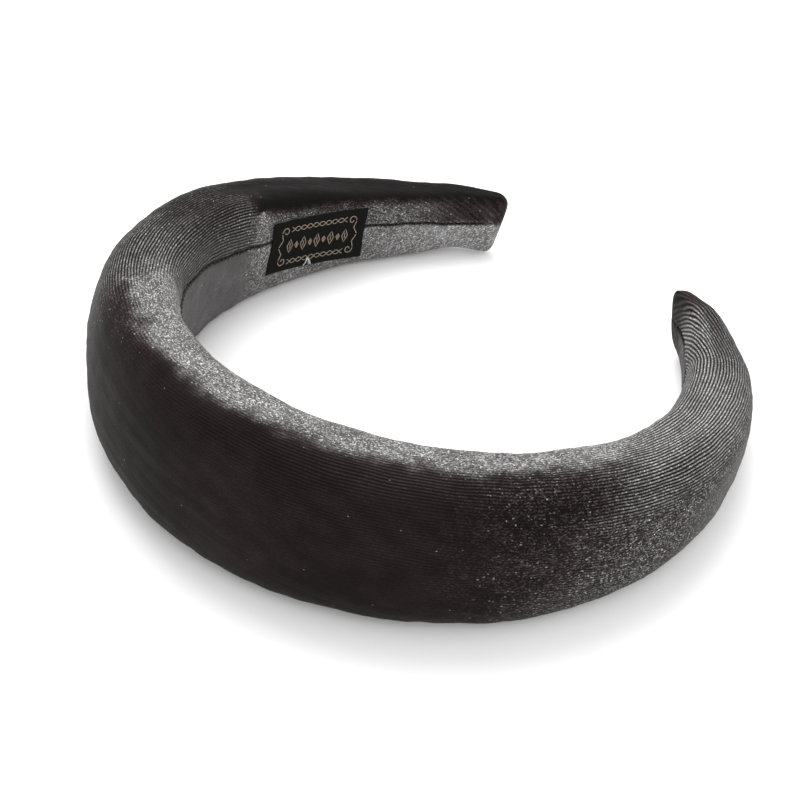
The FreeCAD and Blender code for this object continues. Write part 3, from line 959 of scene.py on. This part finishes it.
velvet_finish = velvet()
dark_thread = thread("dark_thread", (0.006, 0.005, 0.005, 1), (0.04, 0.036, 0.035, 1), 1.2)
white_thread = thread("white_thread", (0.36, 0.355, 0.34, 1), (0.62, 0.61, 0.59, 1), 1.0)
pale_thread = thread("pale_thread", (0.13, 0.10, 0.08, 1), (0.33, 0.265, 0.205, 1), 0.8)
core_finish = speckled("core_plastic", (0.012, 0.012, 0.014, 1), (0.035, 0.035, 0.04, 1), 900, 0.45, 0.00003)
foam_finish = speckled("foam", (0.5, 0.49, 0.45, 1), (0.8, 0.79, 0.75, 1), 1400, 0.85, 0.0003)
tape_finish = speckled("tape", (0.6, 0.58, 0.5, 1), (0.84, 0.82, 0.74, 1), 500, 0.35, 0.00002)
glue_finish = speckled("glue", (0.5, 0.44, 0.3, 1), (0.82, 0.78, 0.64, 1), 700, 0.2, 0.00005, Coat_Weight=0.4)
label_finish = label_weave()

DRESSED = [
    (cover, velvet_finish, "velvet", ["cover_left", "cover_right"]),
    (foam, foam_finish, "foam", ["foam_left", "foam_right"]),
    (core, core_finish, "core_plastic", ["core_left", "core_right"]),
    (tape, tape_finish, "tape", ["foam_tape_left", "foam_tape_right"]),
    (film, glue_finish, "glue", ["glue_film_left", "glue_film_right"]),
    (stitches, dark_thread, "seam_thread", ["seam_stitches_left", "seam_stitches_right"]),
    (left_tip, dark_thread, "seam_thread", ["tip_stitches_left"]),
    (right_tip, dark_thread, "seam_thread", ["tip_stitches_right"]),
    (label, label_finish, "label_weave", ["woven_label"]),
    (ornament, pale_thread, "label_weave", []),
    (tuft, white_thread, "white_thread", ["label_thread"]),
]
for piece, finish, slot, nodes in DRESSED:
    piece.data.materials.append(finish)
    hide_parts(*nodes)
# The one node still shown is the glue behind the label.
for node in frame["nodes"].values():
    node.data.materials.clear()
    node.data.materials.append(glue_finish)

for piece in (cover, foam, core, tape, film, stitches):
    crosses_crown(piece)
for piece in (left_tip, label, ornament, tuft):
    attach(piece, "left_half")
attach(right_tip, "right_half")


# ---------------------------------------------------------------- floor, lights and camera

def floor():
    bpy.ops.mesh.primitive_plane_add(size=FLOOR_SIZE, location=(0, 0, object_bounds()[0][2]))
    made = bpy.context.object
    made.name = "floor"
    m = Shader("paper")
    grain = m.noise(m.add("ShaderNodeTexCoord").outputs["Object"], 900, 3.0, 0.6)
    made.data.materials.append(m.finish(
        Base_Color=m.mix(grain, (0.90, 0.90, 0.90, 1), (0.93, 0.93, 0.93, 1)),
        Roughness=0.85,
        Specular_IOR_Level=0.1,
    ))
    made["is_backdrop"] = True


def soft_light(name, place, size, power):
    light = bpy.data.lights.new(name, "AREA")
    light.shape = "DISK"
    light.size = size
    light.energy = power
    made = bpy.data.objects.new(name, light)
    made.location = place
    made.rotation_mode = "QUATERNION"
    made.rotation_quaternion = (Vector(LIGHT_AIM) - Vector(place)).to_track_quat("-Z", "Y")
    bpy.context.scene.collection.objects.link(made)


def studio():
    world = bpy.data.worlds.new("studio")
    world.use_nodes = True
    background = world.node_tree.nodes["Background"]
    background.inputs["Color"].default_value = (1, 1, 1, 1)
    background.inputs["Strength"].default_value = 1.0
    scene = bpy.context.scene
    scene.world = world
    scene.view_settings.view_transform = "Standard"
    scene.view_settings.look = "None"
    for light in LIGHTS:
        soft_light(*light)


def camera():
    azimuth, elevation = math.radians(CAMERA_AZIMUTH), math.radians(CAMERA_ELEVATION)
    roll = math.radians(CAMERA_ROLL)
    back = Vector((
        math.sin(azimuth) * math.cos(elevation),
        -math.cos(azimuth) * math.cos(elevation),
        math.sin(elevation),
    ))
    target = Vector(CAMERA_TARGET)
    data = bpy.data.cameras.new("camera")
    data.lens = CAMERA_LENS
    data.sensor_width = 36.0
    data.clip_start, data.clip_end = 0.02, 20.0
    made = bpy.data.objects.new("camera", data)
    made.location = target + back * CAMERA_DISTANCE
    facing = (-back).to_track_quat("-Z", "Y").to_matrix().to_4x4() @ Matrix.Rotation(roll, 4, "Z")
    made.matrix_world = Matrix.Translation(made.location) @ facing
    bpy.context.scene.collection.objects.link(made)
    bpy.context.scene.camera = made


floor()
studio()
camera()
